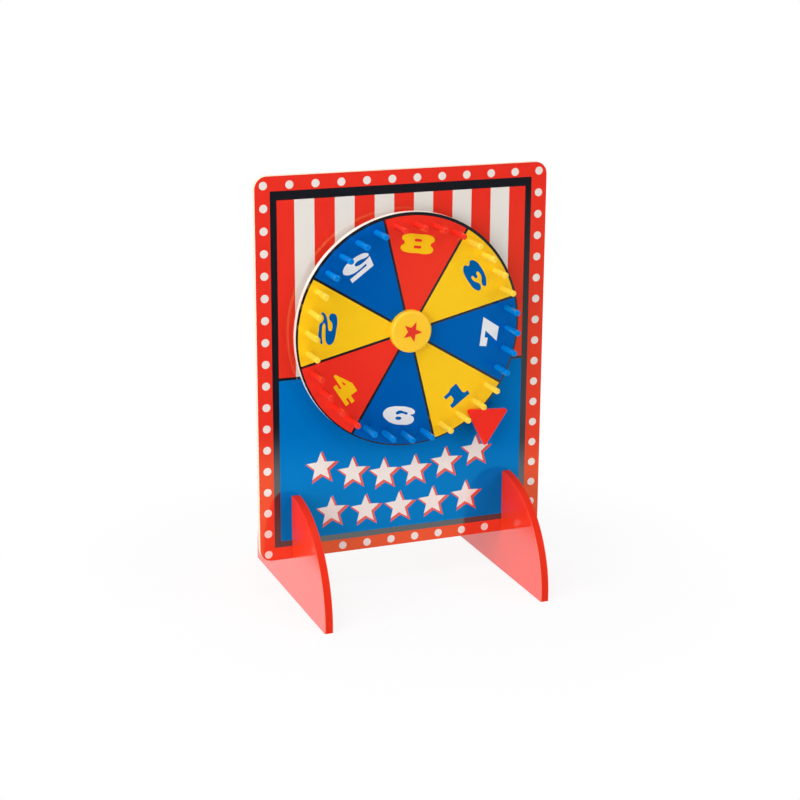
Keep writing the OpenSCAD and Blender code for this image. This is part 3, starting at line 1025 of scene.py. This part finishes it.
def add_axle_bolt():
    """Hexagon bolt with the corners of its head turned off to a cone."""
    low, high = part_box("axle_bolt")
    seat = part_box("axle_back_washer")[1].y
    wide, tall = high.x - low.x, high.z - low.z
    flats = min(wide, tall)
    first_corner = 0 if wide > tall else math.pi / 6
    crown_r = BOLT_CROWN * flats / 2

    def flat_sides(angle):
        from_corner = (angle - first_corner) % (math.pi / 3)
        return flats / 2 / math.cos(from_corner - math.pi / 6)

    def cone_edge(angle):
        radius = flat_sides(angle)
        return radius, high.y - (radius - crown_r) * BOLT_CROWN_SLOPE

    rings = [
        even(BOLT_D / 2 - BOLT_TIP, low.y),
        even(BOLT_D / 2, low.y + BOLT_TIP),
        even(BOLT_D / 2, seat),
        lambda angle: (flat_sides(angle), seat),
        cone_edge,
        even(crown_r, high.y),
    ]
    mesh = soften(turned("axle_bolt_detailed", rings))
    place = pointing_back("axle_bolt")
    bolt = add_piece("axle_bolt_detailed", mesh, place, zinc, "stand")
    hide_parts("axle_bolt")


def cross_recess(top):
    """Mesh of the cross that is cut into a screw head for its driver, narrower at its bottom."""
    arm, half = CROSS_SPAN / 2, CROSS_T / 2
    quarter = [(arm, -half), (arm, half), (half, half)]
    turns = [Matrix.Rotation(turn * math.pi / 2, 2) for turn in range(4)]
    outline = [turn @ Vector(point) for turn in turns for point in quarter]
    ends = ((top - CROSS_DEPTH, CROSS_TAPER), (top + CROSS_DEPTH, 2 - CROSS_TAPER))
    rows = [[(x * share, y * share, height) for x, y in outline] for height, share in ends]
    return stacked("cross_recess", [rows])


def add_stem_screw():
    """Pan-head screw with a cross recess, which holds the pointer's stem."""
    low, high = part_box("stem_screw")
    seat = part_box("stem_washer")[1].y
    head_r = (high.x - low.x) / 2
    head_h = high.y - seat
    rings = [
        even(SCREW_TIP_D / 2, low.y),
        even(SCREW_D / 2, low.y + SCREW_D / 2),
        even(SCREW_D / 2, seat),
        *(even(wide * head_r, seat + up * head_h) for wide, up in PAN_HEAD_PROFILE),
        even(PAN_HEAD_TOP * head_r, high.y),
    ]
    blank = bpy.data.objects.new("stem_screw_blank", turned("stem_screw_detailed", rings))
    cross = bpy.data.objects.new("cross_recess", cross_recess(high.y))
    bpy.context.scene.collection.objects.link(cross)
    cut = blank.modifiers.new("cross", "BOOLEAN")
    cut.operation = "DIFFERENCE"
    cut.solver = "EXACT"
    cut.object = cross
    mesh = soften(plain_mesh(blank))
    bpy.data.objects.remove(cross)
    place = pointing_back("stem_screw")
    screw = add_piece("stem_screw_detailed", mesh, place, zinc, "pointer")
    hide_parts("stem_screw")


# Stage

STUDIO_DIM = (0.10, 0.10, 0.11, 1)
STUDIO_REAR = (0.45, 0.45, 0.45, 1)
STUDIO_WHITE = (1, 1, 1, 1)
# Share of a ray that points to the back, where the surround turns from dim to pale
REAR_START = -0.15
REAR_FULL = 0.35

FLOOR_REACH = 4.0
FLOOR_WHITE = (0.92, 0.92, 0.92, 1)
FLOOR_ROUGHNESS = 0.9
# Mirrored in gloss, the floor is lit behind a soft edge in front of the object
FLOOR_BACK = (-0.23, 0.97, 0)
FLOOR_FADE_NEAR = -0.33
FLOOR_FADE_FAR = -0.57
FLOOR_GLOW = 1.0
FLOOR_DIM = 0.02
# It glows more weakly on the right, and fades out to the front there
SIDE_GLOW = 0.38
SIDE_RIGHT = (0.97, 0.24, 0)
SIDE_START = 0.02
SIDE_FULL = 0.24
SIDE_BACK = (0, 1, 0)
SIDE_FADE_NEAR = -0.6
SIDE_FADE_FAR = -2.3
# Seen directly, it keeps a share of the shadow near the object
SHADOW_NEAR = 0.22
SHADOW_FAR = 0.42
SHADOW_SHARE = 0.14

# Lamps: name, place, point that it faces, side length and watts
LAMPS = (
    ("overhead", (-0.3, -0.3, 1.9), (0, 0, 0), 1.6, 23),
    ("key", (-2.5, -1.35, 1.0), (0, 0, 0.2), 2.3, 59),
    ("fill", (1.7, -2.1, 1.2), (0, 0, 0.25), 1.4, 18),
)


def set_floor():
    """White paper that keeps a faint shadow near the object.

    In gloss it shines up to a soft front edge, and more weakly further out on the right.
    """
    mesh = bpy.data.meshes.new("floor")
    corner_signs = ((-1, -1), (1, -1), (1, 1), (-1, 1))
    sheet = [(x * FLOOR_REACH, y * FLOOR_REACH, 0) for x, y in corner_signs]
    mesh.from_pydata(sheet, [], [(0, 1, 2, 3)])
    floor = bpy.data.objects.new("floor", mesh)
    bpy.context.scene.collection.objects.link(floor)
    material = bpy.data.materials.new("floor_paper")
    material.use_nodes = True
    tree = material.node_tree
    link = tree.links.new
    paper = tree.nodes["Principled BSDF"]
    paper.inputs["Base Color"].default_value = FLOOR_WHITE
    paper.inputs["Roughness"].default_value = FLOOR_ROUGHNESS
    paper.inputs["Specular IOR Level"].default_value = 0.0
    where = place_node(tree, "ShaderNodeTexCoord")
    path = place_node(tree, "ShaderNodeLightPath")

    away = place_node(tree, "ShaderNodeVectorMath", operation="LENGTH")
    link(where.outputs["Object"], away.inputs[0])
    reach = {"From Min": SHADOW_NEAR, "From Max": SHADOW_FAR, "To Min": 1 - SHADOW_SHARE, "To Max": 1.0}
    plain = place_node(tree, "ShaderNodeMapRange", reach, interpolation_type="SMOOTHSTEP")
    link(away.outputs["Value"], plain.inputs["Value"])
    white = place_node(tree, "ShaderNodeEmission", {"Color": STUDIO_WHITE, "Strength": 1.0})
    seen = place_node(tree, "ShaderNodeMixShader")
    link(plain.outputs["Result"], seen.inputs["Fac"])
    link(paper.outputs["BSDF"], seen.inputs[1])
    link(white.outputs["Emission"], seen.inputs[2])

    def fade_along(direction, start, end, dim, glow, style):
        """A value that goes from dim to glow between two distances along a direction of the floor."""
        along = place_node(tree, "ShaderNodeVectorMath", operation="DOT_PRODUCT")
        along.inputs[1].default_value = direction
        link(where.outputs["Object"], along.inputs[0])
        limits = {"From Min": start, "From Max": end, "To Min": dim, "To Max": glow}
        fade = place_node(tree, "ShaderNodeMapRange", limits, interpolation_type=style)
        link(along.outputs["Value"], fade.inputs["Value"])
        return fade

    lit = fade_along(
        FLOOR_BACK, FLOOR_FADE_FAR, FLOOR_FADE_NEAR, FLOOR_DIM, FLOOR_GLOW, "SMOOTHSTEP"
    )
    side = place_node(tree, "ShaderNodeMath", operation="MULTIPLY")
    rightwards = fade_along(SIDE_RIGHT, SIDE_START, SIDE_FULL, 0.0, SIDE_GLOW, "LINEAR")
    link(rightwards.outputs["Result"], side.inputs[0])
    nearer = fade_along(SIDE_BACK, SIDE_FADE_FAR, SIDE_FADE_NEAR, 0.0, 1.0, "LINEAR")
    link(nearer.outputs["Result"], side.inputs[1])
    brighter = place_node(tree, "ShaderNodeMath", operation="MAXIMUM")
    link(lit.outputs["Result"], brighter.inputs[0])
    link(side.outputs[0], brighter.inputs[1])
    shine = place_node(tree, "ShaderNodeEmission", {"Color": STUDIO_WHITE})
    link(brighter.outputs[0], shine.inputs["Strength"])

    mirrored = place_node(tree, "ShaderNodeMixShader")
    link(path.outputs["Is Glossy Ray"], mirrored.inputs["Fac"])
    link(paper.outputs["BSDF"], mirrored.inputs[1])
    link(shine.outputs["Emission"], mirrored.inputs[2])
    surface = place_node(tree, "ShaderNodeMixShader")
    link(path.outputs["Is Camera Ray"], surface.inputs["Fac"])
    link(mirrored.outputs["Shader"], surface.inputs[1])
    link(seen.outputs["Shader"], surface.inputs[2])
    link(surface.outputs["Shader"], tree.nodes["Material Output"].inputs["Surface"])
    mesh.materials.append(material)


def set_world():
    """Pale behind the object and dim in front of it, and plain white where the camera looks past it."""
    world = bpy.data.worlds.new("studio")
    bpy.context.scene.world = world
    world.use_nodes = True
    tree = world.node_tree
    link = tree.links.new
    surround = tree.nodes["Background"]
    seen = place_node(tree, "ShaderNodeBackground", {"Color": STUDIO_WHITE, "Strength": 1.0})
    where = place_node(tree, "ShaderNodeTexCoord")
    parts = place_node(tree, "ShaderNodeSeparateXYZ")
    link(where.outputs["Generated"], parts.inputs["Vector"])
    rear = place_node(tree, "ShaderNodeMapRange", {"From Min": REAR_START, "From Max": REAR_FULL})
    link(parts.outputs["Y"], rear.inputs["Value"])
    wall = place_node(tree, "ShaderNodeMix", data_type="RGBA")
    wall.inputs[MIX_FIRST].default_value = STUDIO_DIM
    wall.inputs[MIX_SECOND].default_value = STUDIO_REAR
    link(rear.outputs["Result"], wall.inputs[MIX_SHARE])
    link(wall.outputs[MIX_RESULT], surround.inputs["Color"])
    path = place_node(tree, "ShaderNodeLightPath")
    pick = place_node(tree, "ShaderNodeMixShader")
    link(path.outputs["Is Camera Ray"], pick.inputs["Fac"])
    link(surround.outputs["Background"], pick.inputs[1])
    link(seen.outputs["Background"], pick.inputs[2])
    link(pick.outputs["Shader"], tree.nodes["World Output"].inputs["Surface"])


def add_softbox(name, place, target, size, watts):
    """A square soft lamp that faces a point."""
    lamp = bpy.data.lights.new(name, "AREA")
    lamp.shape = "SQUARE"
    lamp.size = size
    lamp.energy = watts
    holder = bpy.data.objects.new(name, lamp)
    holder.location = place
    holder.rotation_euler = (Vector(target) - Vector(place)).to_track_quat("-Z", "Y").to_euler()
    bpy.context.scene.collection.objects.link(holder)


def set_lights():
    """Soft light from above, a key from the left and a weak fill from the right front."""
    for lamp in LAMPS:
        add_softbox(*lamp)


def set_camera():
    """Camera at the photograph's viewing angle."""
    camera = bpy.data.cameras.new("camera")
    camera.lens = CAMERA_LENS
    camera.sensor_width = SENSOR_W
    holder = bpy.data.objects.new("camera", camera)
    swing = Matrix.Rotation(-CAMERA_TURN, 4, "Z")
    dip = Matrix.Rotation(math.pi / 2 - CAMERA_DIP, 4, "X")
    roll = Matrix.Rotation(CAMERA_ROLL, 4, "Z")
    holder.matrix_world = Matrix.Translation(CAMERA_PLACE) @ swing @ dip @ roll
    bpy.context.scene.collection.objects.link(holder)
    bpy.context.scene.camera = holder


finish_solids()
print_board()
print_wheel()
add_axle_bolt()
add_stem_screw()
set_floor()
set_world()
set_lights()
set_camera()
bpy.context.scene.view_settings.view_transform = "Standard"
